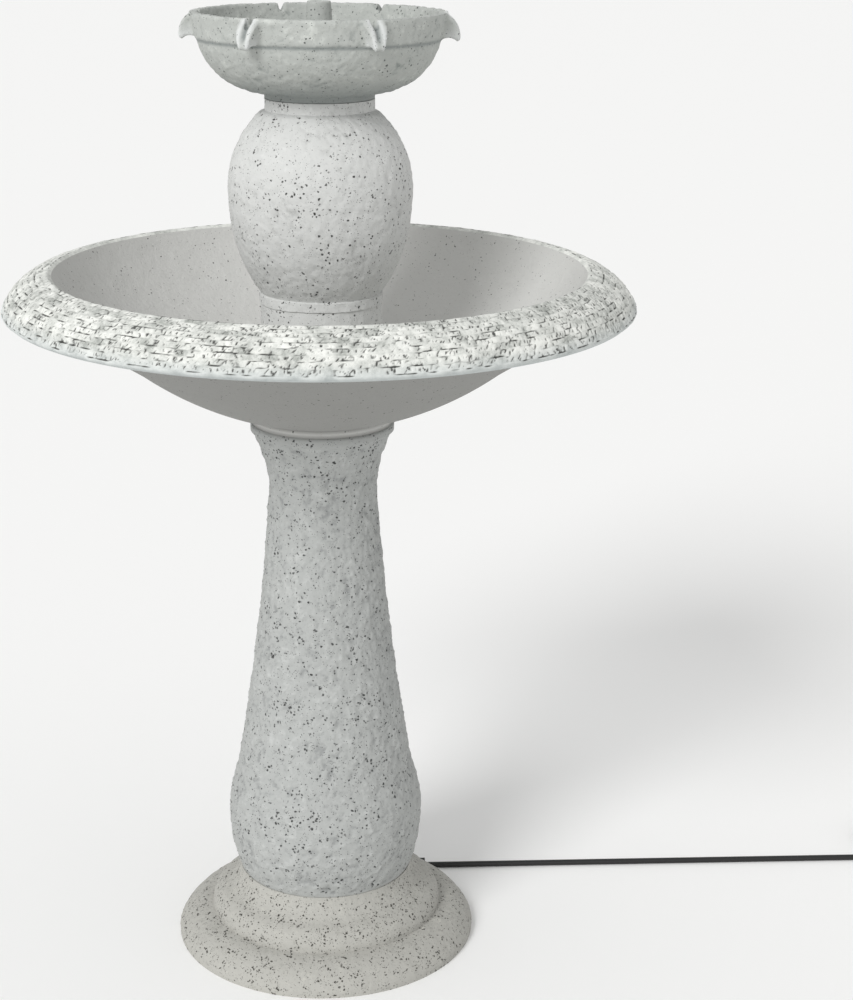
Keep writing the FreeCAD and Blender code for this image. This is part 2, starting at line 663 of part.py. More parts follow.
def make_rotor():
    shaft_hole = d.shaft_radius + d.running_gap
    magnet_start, magnet_end = d.motor_front + 0.5, motor_end - 5.5
    node("rotor_magnet", cut("magnet", on_shaft("magnet_body", d.magnet_radius, magnet_start, magnet_end),
                             on_shaft("magnet_bore", shaft_hole, magnet_start, magnet_end)))
    front, back = chamber_front + d.bush_length + 0.2, d.motor_front - 0.5
    disc = on_shaft("impeller_disc", d.vane_radius, back - 2, back)
    hub = on_shaft("impeller_hub", 3.5, front, magnet_start)
    vanes = []
    for index in range(VANES):
        vane = primitive("Box", "vane_%d" % index, (0, 0, 0), Length=back - front, Width=1.2,
                         Height=d.vane_radius - 0.5)
        turn = FreeCAD.Rotation(Vector(1, 0, 0), 360 / VANES * index)
        vanes.append(place(vane, (front, d.pump_offset, pump_axis_z), turn))
    node("impeller", cut("impeller_body", fuse("impeller_blank", disc, hub, *vanes),
                         on_shaft("impeller_bore", shaft_hole, front, magnet_start)))
    node("impeller_shaft", on_shaft("shaft", d.shaft_radius, chamber_front, motor_end - 1.7))
    bushes = []
    for tag, start in (("front", chamber_front), ("back", back_bush_x)):
        bushes.append(cut(tag + "_bush", on_shaft(tag + "_bush_body", d.bush_radius, start, start + d.bush_length),
                          on_shaft(tag + "_bush_bore", d.shaft_radius + 0.01, start, start + d.bush_length)))
    node("shaft_bushes", group("bush_pair", bushes))


def make_chamber():
    shell = block("chamber_block", (chamber_front, pump_low_y, pump_floor_z),
                  (d.motor_front, pump_high_y, pump_top_z))
    room = on_shaft("chamber_room", d.chamber_radius, chamber_front + d.bush_length - 0.5, d.motor_front)
    bush_seat = on_shaft("front_bush_seat", d.bush_radius, chamber_front, d.motor_front)
    riser = rod("chamber_riser", d.outlet_bore, pump_top_z - pump_axis_z, (outlet_x, d.pump_offset, pump_axis_z))
    eyes = []
    for index in range(SPIDER_HOLES):
        turn = math.radians(360 / SPIDER_HOLES * (index + 0.5))
        eyes.append(rod("eye_%d" % index, 2.2, d.chamber_length,
                        (chamber_front, d.pump_offset + 7 * math.cos(turn), pump_axis_z + 7 * math.sin(turn)), "X"))
    feet = [cup_socket(index) for index, (x, y) in enumerate(CUP_PLACES) if x < 0]
    node("pump_chamber", cut("chamber", shell, room, bush_seat, riser, *eyes, *feet))

    adapter = fuse("adapter_body", rod("adapter_flange", 9, 3, (outlet_x, d.pump_offset, pump_top_z)),
                   rod("adapter_tail", d.outlet_radius, d.outlet_height, (outlet_x, d.pump_offset, pump_top_z)))
    node("outlet_adapter", cut("adapter", adapter, rod("adapter_bore", d.outlet_bore, d.outlet_height,
                                                       (outlet_x, d.pump_offset, pump_top_z))))


def make_strainer():
    wall = d.strainer_wall
    shell = block("strainer_block", (strainer_front, pump_low_y, pump_floor_z),
                  (chamber_front, pump_high_y, pump_top_z))
    room = block("strainer_room", (strainer_front + wall, pump_low_y + wall, pump_floor_z + wall),
                 (chamber_front, pump_high_y - wall, pump_top_z - wall))
    slots = []
    pitch = (d.pump_width - 10) / STRAINER_SLOTS
    for index in range(STRAINER_SLOTS):
        low_y = pump_low_y + 5 + pitch * index
        slots.append(block("strainer_slot_%d" % index, (strainer_front, low_y, pump_floor_z + 4),
                           (strainer_front + wall, low_y + pitch / 2, pump_floor_z + 18)))
    stem_hole = rod("dial_stem_hole", d.dial_stem + d.running_gap, wall, (strainer_front, d.pump_offset, dial_z), "X")
    node("pump_strainer", cut("strainer", shell, room, stem_hole, *slots))
    node("pump_filter", block("filter_foam", (strainer_front + wall + 3, pump_low_y + wall + d.gap,
                                               pump_floor_z + wall + d.gap),
                              (chamber_front - d.gap, pump_high_y - wall - d.gap, pump_top_z - wall - d.gap)))

    knob = rod("dial_knob", d.dial_radius, d.dial_height, (strainer_front - d.gap - d.dial_height, d.pump_offset,
                                                          dial_z), "X")
    grip = block("dial_grip", (strainer_front - d.gap - d.dial_height - 2, d.pump_offset - 1, dial_z - 5),
                 (strainer_front - d.gap - d.dial_height, d.pump_offset + 1, dial_z + 5))
    stem = rod("dial_stem_rod", d.dial_stem, wall + 2, (strainer_front - d.gap, d.pump_offset, dial_z), "X")
    node("flow_dial", fuse("dial", knob, grip, stem))


def make_suction_cups():
    cups = []
    for index, (x, y) in enumerate(CUP_PLACES):
        bell = cone("cup_bell_%d" % index, d.cup_radius, 3.5, d.pump_lift, (x, y, bowl_floor_z))
        stem = rod("cup_stem_%d" % index, d.cup_stem, d.pump_lift + d.socket_depth - 0.5, (x, y, bowl_floor_z))
        hollow = cone("cup_hollow_%d" % index, d.cup_radius - 1, 1, 3, (x, y, bowl_floor_z))
        cups.append(cut("cup_%d" % index, fuse("cup_body_%d" % index, bell, stem), hollow))
    node("suction_cups", group("cup_set", cups))


def make_gland():
    """The moulded strain relief where the cable leaves the motor."""
    sleeve = cone("gland_sleeve", 5, 3.8, d.gland_length, (d.stopper_x, pump_high_y, cable_start_z), "Y")
    node("pump_gland", cut("gland", sleeve, rod("gland_bore", d.cable_radius + d.running_gap, d.gland_length,
                                                (d.stopper_x, pump_high_y, cable_start_z), "Y")))


def make_hose():
    """The hose from the outlet up to the spout tube's tail, in a gentle S."""
    start = Vector(outlet_x.value, d.pump_offset.value, pump_top_z.value + 3.5)
    top = urn_top_z.value - d.hose_top_drop.value
    points = [start, start + Vector(0, 0, 45), Vector(0, 0, top - 52), Vector(0, 0, top)]
    node("hose", tube_along("hose", points, d.hose_bore.value + d.hose_wall.value, d.hose_bore.value))
    clip_z = pump_top_z + 9
    outside = d.hose_bore + d.hose_wall
    at = (outlet_x, d.pump_offset, clip_z)
    band = rod("clip_band", outside + 1.3, 7, at)
    ears = [block("clip_ear_%d" % side, (outlet_x - outside - 7, d.pump_offset + side * 3 - 0.6, clip_z + 1),
                  (outlet_x - outside, d.pump_offset + side * 3 + 0.6, clip_z + 6)) for side in (-1, 1)]
    node("hose_clip", cut("clip", fuse("clip_body", band, *ears), rod("clip_bore", outside + d.running_gap, 7, at)))


# ---------------------------------------------------------------- cable inside the fountain

def make_inner_cable():
    """From the motor, through the stopper, down the column and out along the ground to the doorway."""
    x, y, r = d.stopper_x.value, d.stopper_y.value, d.cable_radius.value
    start_z, drop_z, foot_z = cable_start_z.value, column_top_z.value - 70, column_foot_z.value
    points = [
        Vector(x, pump_high_y.value - 1.8, start_z),
        Vector(x, y, start_z),
        Vector(x, y, drop_z),
        Vector(5, 12, foot_z + 85),
        Vector(5, 12, foot_z - 25),
        Vector(22, 52, r),
        Vector(45, d.cord_y.value, r),
        Vector(cord_exit.value, d.cord_y.value, r),
    ]
    radii = [d.cable_bend.value, 400, 400, 50, 50, 34]
    node("inner_cable", tube_along("inner_cable", points, r, radii=radii))


# ---------------------------------------------------------------- lead, coil and connector

outer_ring = d.coil_middle + (d.coil_rings - 1) * d.turn_gap / 2
coil_y = d.cord_y + outer_ring
coil_height = d.turn_gap * (d.coil_layers - 1) + 2 * d.cable_radius
coil_outside = outer_ring + d.cable_radius
coil_inside = 2 * d.coil_middle - coil_outside
tail_x = d.coil_x + 49.5
tail_y = coil_y + 44
barrel_y = tail_y + d.tail_length
barrel_end_y = barrel_y + d.barrel_length


def make_coil():
    """The put-away length as one ring, and the strap that ties it."""
    at = (d.coil_x, coil_y, d.tie_thickness)
    ring = cut("coil_ring", rod("coil_disc", coil_outside, coil_height, at),
               rod("coil_hole", coil_inside, coil_height, at))
    node("cord_coil", ring)
    half = d.tie_width / 2
    low_x = d.coil_x - coil_outside - d.running_gap
    high_x = d.coil_x - coil_inside + 0.2
    strap = block("tie_outside", (low_x - d.tie_thickness, coil_y - half, 0),
                  (high_x + d.tie_thickness, coil_y + half, coil_height + 2 * d.tie_thickness))
    space = block("tie_space", (low_x, coil_y - half, d.tie_thickness),
                  (high_x, coil_y + half, coil_height + d.tie_thickness))
    node("coil_tie", cut("tie", strap, space))
    return ring


def make_cord(ring):
    """The lead along the ground, straight to its coil, and its short end to the connector."""
    r, top_z = d.cable_radius.value, (d.tie_thickness + d.cable_radius + d.turn_gap).value
    x, y, line_y = d.coil_x.value, coil_y.value, d.cord_y.value
    straight = [Vector(cord_exit.value, line_y, r), Vector(x - 24, line_y, r),
                Vector(x, line_y, r + d.tie_thickness.value)]
    node("cord", cut("cord_cut", tube_along("cord", straight, r), ring))
    end = [Vector(x + 42.4, y - 2, top_z), Vector(x + 44.5, y + 14, top_z - 0.4),
           Vector(tail_x.value, y + 29, d.nut_radius.value), Vector(tail_x.value, tail_y.value, d.nut_radius.value)]
    node("cord_end", cut("cord_end_cut", tube_along("cord_end", end, r), ring))


def make_connector():
    """A round two-pin waterproof connector with a coupling nut, lying beside the coil."""
    z = d.nut_radius
    tail = cone("connector_tail", d.cable_radius + 1, d.connector_radius - 1.2, d.tail_length,
                (tail_x, tail_y, z), "Y")
    barrel = rod("connector_barrel", d.connector_radius, d.barrel_length, (tail_x, barrel_y, z), "Y")
    node("connector_body", fuse("connector", tail, barrel))
    nut_y = barrel_end_y - d.nut_grip
    node("connector_nut", cut("nut", rod("nut_outside", d.nut_radius, d.nut_length, (tail_x, nut_y, z), "Y"),
                              rod("nut_bore", d.connector_radius + d.running_gap, d.nut_length,
                                  (tail_x, nut_y, z), "Y")))
    pins = [rod("pin_%d" % side, d.pin_radius, d.pin_length, (tail_x + side * 2.5, barrel_end_y, z), "Y")
            for side in (-1, 1)]
    node("connector_pins", group("pin_pair", pins))


# ---------------------------------------------------------------- making, checks and export

make_base()
make_cord_bush()
make_column()
make_fixings("base", d.base_bolt_circle, d.base_height - d.base_plate, True, column_foot_z)
make_fixings("bowl", d.bowl_bolt_circle, bowl_floor_z, False, column_top_z - d.column_plate)
make_main_bowl()
make_stopper()
make_urn()
make_top_bowl()
make_spout_tube()
make_motor()
make_rotor()
make_chamber()
make_strainer()
make_suction_cups()
make_gland()
make_hose()
make_inner_cable()
make_cord(make_coil())
make_connector()
doc.recompute()

for item in doc.Objects:
    if "Invalid" in item.State or "Error" in item.State:
        raise SystemExit("%s didn't recompute: %s" % (item.Name, item.State))
for name, item in parts.items():
    if item.Shape.isNull() or not item.Shape.isValid() or not item.Shape.Solids:
        raise SystemExit("%s has no valid shape" % name)

os.makedirs("parts", exist_ok=True)
for name, item in parts.items():
    item.Shape.exportStep("parts/%s.step" % name)
    print("%-18s %d solids %10.0f mm3" % (name, len(item.Shape.Solids), item.Shape.Volume))
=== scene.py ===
# %% [markdown]
# # A tiered garden fountain in cast resin stone
#
# The real object is a pump-fed garden fountain. Its base, column, wide bowl, urn and small pouring bowl are
# cast in resin filled with stone dust, then dabbed with darker and lighter paint so that they pass for old
# stone. This lesson builds its surfaces round a finished engineering model, which is loaded first and never
# moved. The castings are turned on a lathe in edit mode, weathered with displacement, and painted with
# procedural materials. The cable is a spline of its real length.

import math

import bpy
import numpy as np
from mathutils import Matrix, Vector


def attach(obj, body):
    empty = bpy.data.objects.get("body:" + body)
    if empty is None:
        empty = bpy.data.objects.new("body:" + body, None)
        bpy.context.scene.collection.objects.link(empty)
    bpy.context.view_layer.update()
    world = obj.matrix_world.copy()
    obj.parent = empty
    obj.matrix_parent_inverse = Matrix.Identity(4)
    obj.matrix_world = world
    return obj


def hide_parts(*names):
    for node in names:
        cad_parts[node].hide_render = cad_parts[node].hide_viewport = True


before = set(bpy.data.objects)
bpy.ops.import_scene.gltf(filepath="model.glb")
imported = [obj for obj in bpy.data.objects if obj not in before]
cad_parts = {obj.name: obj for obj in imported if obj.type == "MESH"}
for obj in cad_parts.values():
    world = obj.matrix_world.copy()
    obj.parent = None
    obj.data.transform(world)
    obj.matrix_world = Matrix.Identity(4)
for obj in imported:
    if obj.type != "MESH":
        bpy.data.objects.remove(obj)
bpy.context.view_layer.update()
MM = 0.001

# %% [markdown]
# ## The camera
#
# It stands straight in front, a little higher than the fountain, and looks down by about 17.5 degrees and
# three degrees to the right, where the cable lies. That angle opens the wide bowl to view and still shows the
# curve of its underside. The direction is written as a pitch, a turn and a slight roll, so each can be
# changed by itself.

# %% Camera
PITCH, TURN, ROLL = 0.3063, 0.0536, 0.0078
LENS = 72.81
STANDS_AT = (0, -1.6477, 0.9244)
ahead = Vector((math.sin(TURN) * math.cos(PITCH), math.cos(TURN) * math.cos(PITCH), -math.sin(PITCH)))
level = Vector((math.cos(TURN), -math.sin(TURN), 0))
upward = level.cross(ahead)
right = level * math.cos(ROLL) + upward * math.sin(ROLL)
up = upward * math.cos(ROLL) - level * math.sin(ROLL)

camera = bpy.data.objects.new("camera", bpy.data.cameras.new("camera"))
camera.data.lens = LENS
camera.matrix_world = Matrix((right, up, -ahead)).transposed().to_4x4()
camera.location = STANDS_AT
bpy.context.scene.collection.objects.link(camera)
bpy.context.scene.camera = camera
print("camera looks along", [round(part, 3) for part in ahead])

# %% [markdown]
# ## The cable
#
# A low-voltage pump cable is 5.4 mm thick. It leaves through a rubber saddle in the base and lies straight on
# the ground. What isn't laid out is wound into a neat coil of two layers, each turn one cable's width from the
# next, and the short end goes into the connector. One spline of order three follows all of it, so the line has
# no corners.

# %% Cable route
CABLE_RADIUS = 2.7 * MM
COIL_CENTRE = Vector((575, 142.4)) * MM
TURN_GAP = 5.45 * MM
OUTER_TURN = 42.4 * MM
INWARD_TURNS = 5
LOW_LAYER, HIGH_LAYER = 3.6 * MM, 9.05 * MM
POINTS_PER_TURN = 24


def eased(share):
    """Runs from 0 to 1 with a soft start and end."""
    share = min(max(share, 0), 1)
    return share * share * (3 - 2 * share)


def coil_points():
    """Five turns inwards, one step up, four turns outwards and a last quarter turn."""
    inward = [OUTER_TURN - TURN_GAP * turn for turn in range(INWARD_TURNS)]
    radii = inward + inward[:0:-1] + [OUTER_TURN]
    climb_turn = INWARD_TURNS - 1
    whole_turns = 2 * INWARD_TURNS - 1
    made = []
    for count in range(whole_turns * POINTS_PER_TURN + POINTS_PER_TURN // 4 + 1):
        turn, share = divmod(count / POINTS_PER_TURN, 1)
        turn = int(turn)
        following = radii[min(turn + 1, len(radii) - 1)]
        radius = radii[turn] + (following - radii[turn]) * eased((share - 5 / 6) * 6)
        climbed = 1 if turn > climb_turn else eased((share - 2 / 3) * 6) if turn == climb_turn else 0
        angle = math.tau * share - math.pi / 2
        made.append((COIL_CENTRE.x + radius * math.cos(angle), COIL_CENTRE.y + radius * math.sin(angle),
                     LOW_LAYER + (HIGH_LAYER - LOW_LAYER) * climbed))
    return made


straight = [(95, 100, 2.7), (530, 100, 2.7), (551, 100, 2.7)]
short_end = [(619.5, 156.4, 8.65), (624.5, 171.4, 8), (624.5, 186.4, 8)]
route = [Vector(point) * MM for point in straight]
route += [Vector(point) for point in coil_points()]
route += [Vector(point) * MM for point in short_end]
print("cable route has", len(route), "points")

# %% Cable as a round tube on that spline
line = bpy.data.curves.new("pump_cable", "CURVE")
line.dimensions = "3D"
spline = line.splines.new("NURBS")
spline.points.add(len(route) - 1)
for point, place in zip(spline.points, route):
    point.co = (*place, 1)
    point.radius = CABLE_RADIUS
spline.order_u = 3
spline.use_endpoint_u = True
spline.resolution_u = 4
line.bevel_depth = 1
line.bevel_resolution = 6
line.use_fill_caps = True
cable = bpy.data.objects.new("pump_cable", line)
bpy.context.scene.collection.objects.link(cable)
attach(cable, "fountain")
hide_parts("cord", "cord_coil", "cord_end")

# %% [markdown]
# ## Turning a casting
#
# Base, column, bowls and urn are round, so a mould maker turns their patterns on a lathe from one outline.
# Here the outline is drawn in edit mode by extruding a single point along it, and the Spin tool turns it. An
# outline is a list of corners: radius, height, how far the stretch to the next corner bulges, and the spacing
# of points along it. A bulge is the arc's height over its chord. Visible stretches get a close spacing, so
# that displacement can carve them later.

# %% Outline with arcs
FINE, MIDDLE, COARSE = 1.8, 4, 12


def outline(corners):
    """The points of an outline, in metres, with each bulging stretch as a true arc."""
    points = []
    for (radius, height, bulge, spacing), (next_radius, next_height, *_) in zip(corners, corners[1:]):
        start, chord = Vector((radius, height)), Vector((next_radius - radius, next_height - height))
        outward = Vector((chord.y, -chord.x))
        half = 2 * math.atan(2 * bulge)
        count = max(1, round(chord.length / spacing))
        for step in range(count):
            share = step / count
            along, off = share, 0
            if bulge:
                angle = (2 * share - 1) * half
                along = 0.5 + math.sin(angle) / math.sin(half) / 2
                off = (math.cos(angle) - math.cos(half)) / math.sin(half) / 2
            points.append((start + chord * along + outward * off) * MM)
    points.append(Vector(corners[-1][:2]) * MM)
    return points


print("usual spacings of the points on an outline, in mm:", FINE, MIDDLE, COARSE)

# %% Lathe
def turned(name, corners, steps):
    """Extrudes one point along the outline and spins the line about the upright axis."""
    points = outline(corners)
    bpy.ops.object.select_all(action="DESELECT")
    bpy.ops.mesh.primitive_plane_add(size=MM)
    piece = bpy.context.object
    piece.name = piece.data.name = name
    bpy.ops.object.mode_set(mode="EDIT")
    bpy.ops.mesh.merge(type="CENTER")
    bpy.ops.transform.translate(value=(points[0].x, 0, points[0].y))
    for before, after in zip(points, points[1:]):
        way = (after.x - before.x, 0, after.y - before.y)
        bpy.ops.mesh.extrude_region_move(TRANSFORM_OT_translate={"value": way})
    bpy.ops.mesh.select_all(action="SELECT")
    bpy.ops.mesh.spin(steps=steps, angle=math.tau, center=(0, 0, 0), axis=(0, 0, 1))
    bpy.ops.mesh.select_all(action="SELECT")
    bpy.ops.mesh.remove_doubles(threshold=MM / 100)
    bpy.ops.mesh.delete_loose()
    bpy.ops.mesh.select_all(action="SELECT")
    bpy.ops.mesh.normals_make_consistent(inside=False)
    bpy.ops.object.mode_set(mode="OBJECT")
    while piece.data.uv_layers:
        piece.data.uv_layers.remove(piece.data.uv_layers[0])
    print(name, "has", len(piece.data.polygons), "faces")
    return piece


# %% [markdown]
# ## Cutting holes
#
# Bolts and the cable pass through the castings in round holes, and the cable leaves through a square doorway.
# A cutter of the hole's shape is taken away from the casting with a Boolean, as a core leaves a hole in a
# mould.

# %% Cutters
BASE_BOLT_CIRCLE, BOWL_BOLT_CIRCLE = 46, 36
BOLT_TURNS = (30, 150, 270)
CABLE_HOLE = (8, 33)


def cut_holes(piece, *cutters):
    """Cuts the cutters out of the piece, one Boolean each, and removes them."""
    for cutter in cutters:
        bpy.ops.object.select_all(action="DESELECT")
        bpy.context.view_layer.objects.active = piece
        hole = piece.modifiers.new("hole", "BOOLEAN")
        hole.operation = "DIFFERENCE"
        hole.solver = "MANIFOLD"
        hole.object = cutter
        bpy.ops.object.modifier_apply(modifier=hole.name)
        bpy.data.objects.remove(cutter)


def drill(radius, x, y, low, high):
    """A round cutter, in millimetres, standing upright."""
    bpy.ops.object.select_all(action="DESELECT")
    bpy.ops.mesh.primitive_cylinder_add(vertices=32, radius=radius * MM, depth=(high - low) * MM,
                                        location=(x * MM, y * MM, (low + high) / 2 * MM))
    return bpy.context.object


def slab(low, high):
    """A square cutter between two corners, in millimetres."""
    bpy.ops.object.select_all(action="DESELECT")
    low, high = Vector(low) * MM, Vector(high) * MM
    bpy.ops.mesh.primitive_cube_add(size=1, location=(low + high) / 2, scale=high - low)
    return bpy.context.object


def bolt_drills(radius, circle, low, high):
    """Three upright cutters on a bolt circle, one of them at the front."""
    return [drill(radius, circle * math.cos(turn), circle * math.sin(turn), low, high)
            for turn in map(math.radians, BOLT_TURNS)]


print("bolt circles of", BASE_BOLT_CIRCLE, "and", BOWL_BOLT_CIRCLE, "mm radius, cable hole at", CABLE_HOLE)

# %% [markdown]
# ## Weathering
#
# A hand-finished casting is nowhere quite even. Cloud noise raises and sinks the visible skin, once for each
# size of unevenness. How far each vertex moved is kept as an attribute named relief, and the paint reads it
# later, to lay painted shade in the real pits and painted highlight on the ridges.

# %% Weathering and shading a casting
def weathered(piece, chosen, layers):
    """Raises and sinks the chosen vertices by cloud noise. Each layer is a grain and a height in millimetres.

    chosen is given the radius and height in millimetres, and how far the skin faces outwards and upwards.
    """
    co = np.zeros(len(piece.data.vertices) * 3, np.float32)
    normal = np.zeros_like(co)
    piece.data.vertices.foreach_get("co", co)
    piece.data.vertex_normals.foreach_get("vector", normal)
    co, normal = co.reshape(-1, 3) / MM, normal.reshape(-1, 3)
    radius = np.hypot(co[:, 0], co[:, 1])
    facing = (co[:, 0] * normal[:, 0] + co[:, 1] * normal[:, 1]) / np.maximum(radius, 1)
    group_name = "weathered"
    group = piece.vertex_groups.new(name=group_name)
    group.add(np.flatnonzero(chosen(radius, co[:, 2], facing, normal[:, 2])).tolist(), 1, "REPLACE")
    bpy.context.view_layer.objects.active = piece
    for grain, height in layers:
        clouds = bpy.data.textures.new("clouds", "CLOUDS")
        clouds.noise_scale = grain * MM
        clouds.noise_depth = 2
        move = piece.modifiers.new("relief", "DISPLACE")
        move.texture = clouds
        move.texture_coords = "LOCAL"
        move.vertex_group = group_name
        move.strength = height * MM
        bpy.ops.object.modifier_apply(modifier=move.name)
        bpy.data.textures.remove(clouds)
    piece.vertex_groups.clear()
    after = np.zeros(co.size, np.float32)
    piece.data.vertices.foreach_get("co", after)
    moved = ((after.reshape(-1, 3) / MM - co) * normal).sum(axis=1)
    relief = piece.data.attributes.new("relief", "FLOAT", "POINT")
    relief.data.foreach_set("value", moved.astype(np.float32))
    print(piece.name, "moved by", round(float(moved.min()), 2), "to", round(float(moved.max()), 2), "mm")


def shaded(piece, angle=40):
    """Smooth, but sharp at edges that turn by more than the angle in degrees."""
    bpy.ops.object.select_all(action="DESELECT")
    piece.select_set(True)
    bpy.context.view_layer.objects.active = piece
    bpy.ops.object.shade_smooth_by_angle(angle=math.radians(angle))


def placed(piece, body, slot, *nodes):
    """The piece rides on its body and stands for its nodes."""
    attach(piece, body)
    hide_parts(*nodes)
    print(piece.name, "rides on", body, "and stands for", *nodes)


# %% [markdown]
# ## The base
#
# It is a low hollow foot with two rounded steps and a cove that runs up to the column. Only its outside is
# cast with care, and the inside is plain. A doorway at the back right lets the cable out, and three holes take
# the bolts.

# %% Base
base = turned("base_casting", [
    (132, 0, 0, MIDDLE), (132, 6, 0.12, FINE), (108, 24.5, 0, FINE), (102, 25.5, 0.17, FINE),
    (89, 45.5, -0.14, FINE), (76, 65, 0, MIDDLE), (22, 65, 0, COARSE), (22, 57, 0, COARSE), (69, 57, 0, COARSE),
    (82, 38.5, 0, COARSE), (95, 17.5, 0, COARSE), (125, 6, 0, COARSE), (125, 0, 0, COARSE), (132, 0, 0, FINE),
], 560)
weathered(base, lambda radius, z, facing, lift: (z > 2) & (z < 64) & (facing > -0.05) & (radius > 72),
          [(14, 0.8), (3.6, 1.0)])
cut_holes(base, slab((66, 95.5, -5), (140, 104.5, 8)), *bolt_drills(3.3, BASE_BOLT_CIRCLE, 50, 70))
shaded(base)
placed(base, "fountain", "stone_base", "base_plinth")

# %% [markdown]
# ## The column
#
# The casting swells into a belly near its foot, narrows for most of its height and flares to a collar under
# the bowl. Its skin is stippled like orange peel, so it gets three grains of displacement: a broad one for
# the handmade unevenness, and two of a few millimetres for the stipple.

# %% Column
column = turned("column_casting", [
    (0, 474, 0, COARSE), (59, 474, 0, FINE), (60.5, 472.5, 0, FINE), (60.5, 467.5, 0, FINE),
    (58.5, 466, 0.08, FINE), (47, 396, 0.0135, FINE), (77, 160, -0.093, FINE), (75, 65, 0, COARSE),
    (22, 65, 0, COARSE), (22, 73, 0, COARSE), (68.5, 73, 0.09, COARSE), (70.5, 160, -0.0135, COARSE),
    (40.5, 396, -0.08, COARSE), (52, 466, 0, COARSE), (0, 466, 0, COARSE),
], 270)
weathered(column, lambda radius, z, facing, lift: (z > 67) & (z < 465) & (facing > 0),
          [(26, 1.6), (8, 2.5), (3.6, 2.3)])
cut_holes(column, drill(11.2, *CABLE_HOLE, 460, 480), *bolt_drills(4.5, BASE_BOLT_CIRCLE, 60, 76),
          *bolt_drills(4.5, BOWL_BOLT_CIRCLE, 460, 480))
shaded(column, 60)
placed(column, "fountain", "stone_column", "pedestal_column")

# %% [markdown]
# ## The wide bowl
#
# The dish is smooth inside and out, and only its rim is chipped. So the bowl is two closed shells: a dish with
# large faces and a rim with small ones. They meet on one line at the crest and on one line below the lip, and
# the wall between them is hidden.

# %% Dish of the wide bowl
dish = turned("bowl_dish", [
    (0, 474, 0, COARSE), (59, 474, 0, MIDDLE), (59, 480.5, 0, MIDDLE), (64, 482, 0.048, MIDDLE),
    (158, 529.5, 0, MIDDLE), (226, 573.5, 0, COARSE), (219, 603, -0.07, 3), (158, 539, -0.02, 3),
    (63, 484, 0, COARSE), (0, 484, 0, COARSE),
], 560)
weathered(dish, lambda radius, z, facing, lift: (lift > 0.2) & (radius > 70) & (radius < 215),
          [(40, 1.2), (9, 0.7)])
cut_holes(dish, drill(8.2, *CABLE_HOLE, 460, 500), *bolt_drills(3.3, BOWL_BOLT_CIRCLE, 460, 500))
# The underside gets painted shade, stronger where it faces further down.
facing_down = [min(1, max(0, -2 * vertex.normal.z)) for vertex in dish.data.vertices]
dish.data.attributes.new("painted_shade", "FLOAT", "POINT").data.foreach_set("value", facing_down)
shaded(dish)
placed(dish, "fountain", "stone_bowl", "main_bowl")

# %% Shell of the rim
RIM_STEPS = 1400
RIM_SPACING = 1.15
RIM_CORNERS = [
    (222, 605, -0.13, RIM_SPACING), (260, 576.5, -0.2, RIM_SPACING), (255, 571.5, 0, COARSE),
    (226, 573.5, 0, COARSE), (219, 603, 0, RIM_SPACING), (222, 605, 0, RIM_SPACING),
]
rim = turned("bowl_rim", RIM_CORNERS, RIM_STEPS)

# %% [markdown]
# ## The chipped rim
#
# The rim imitates cut slate stood on edge. Nine rings run round it, each about 5.5 mm wide, with a thin
# broken groove between rings and short chisel strokes across each ring. A repeating texture would show its
# period here, so the strokes are struck one by one, at random places from a fixed seed, into a map of the
# rim: down the drop in one direction, round the rim in the other. Each vertex then sinks by its place on the
# map.

# %% Map of the rim, and the grooves between its rings
RING, RINGS = 5.5, 9
MIDDLE_OF_RIM = 242
drop_points = outline(RIM_CORNERS[:3])
drop_at = np.cumsum([0] + [(b - a).length / MM for a, b in zip(drop_points, drop_points[1:])])
around_at = np.arange(RIM_STEPS) * (math.tau * MIDDLE_OF_RIM / RIM_STEPS)
strike = np.random.default_rng(7)
sunk = np.zeros((len(drop_at), RIM_STEPS))
shade = np.zeros_like(sunk)


def wavy(knots, low, high):
    """A random line round the rim that joins its own start."""
    levels = strike.uniform(low, high, knots)
    return np.interp(np.arange(RIM_STEPS), np.arange(knots) * RIM_STEPS / knots, levels, period=RIM_STEPS)


for ring in range(RINGS + 1):
    line_at = ring * RING + wavy(180, -0.5, 0.5) + wavy(420, -0.4, 0.4)
    strength = np.clip(wavy(300, -0.2, 1.4), 0.1, 1)
    groove = np.exp(-((drop_at[:, None] - line_at) / 0.7) ** 2) * strength
    sunk = np.maximum(sunk, groove)
    for knots in (130, 310):
        inside = (drop_at[:, None] > line_at) & (drop_at[:, None] < line_at + RING)
        shade += inside * wavy(knots, -0.5, 0.5)
print("map of the rim:", round(drop_at[-1], 1), "mm down the drop and", round(around_at[-1]), "mm round")

# %% Chisel strokes across each ring
STROKE_REACH = 6
rim_round = around_at[-1] + around_at[1]
for ring in range(RINGS):
    place = strike.uniform(0, 3)
    while place < rim_round:
        length, width = strike.uniform(1.8, 4.8), strike.uniform(0.65, 1.15)
        middle = (ring + strike.uniform(0.25, 0.75)) * RING
        lean = strike.normal(0, 0.6)
        column_at = (around_at - place + rim_round / 2) % rim_round - rim_round / 2
        near = np.flatnonzero(np.abs(column_at) < STROKE_REACH)
        across = column_at[near][None, :] - lean * (drop_at[:, None] - middle)
        along = (drop_at[:, None] - middle) / (length / 2)
        stroke = np.exp(-(across / width) ** 2 - along ** 4) * strike.uniform(0.5, 1)
        sunk[:, near] = np.maximum(sunk[:, near], stroke)
        place += strike.gamma(2, 1.35)
print("mean depth of the strokes", round(float(sunk.mean()), 2))

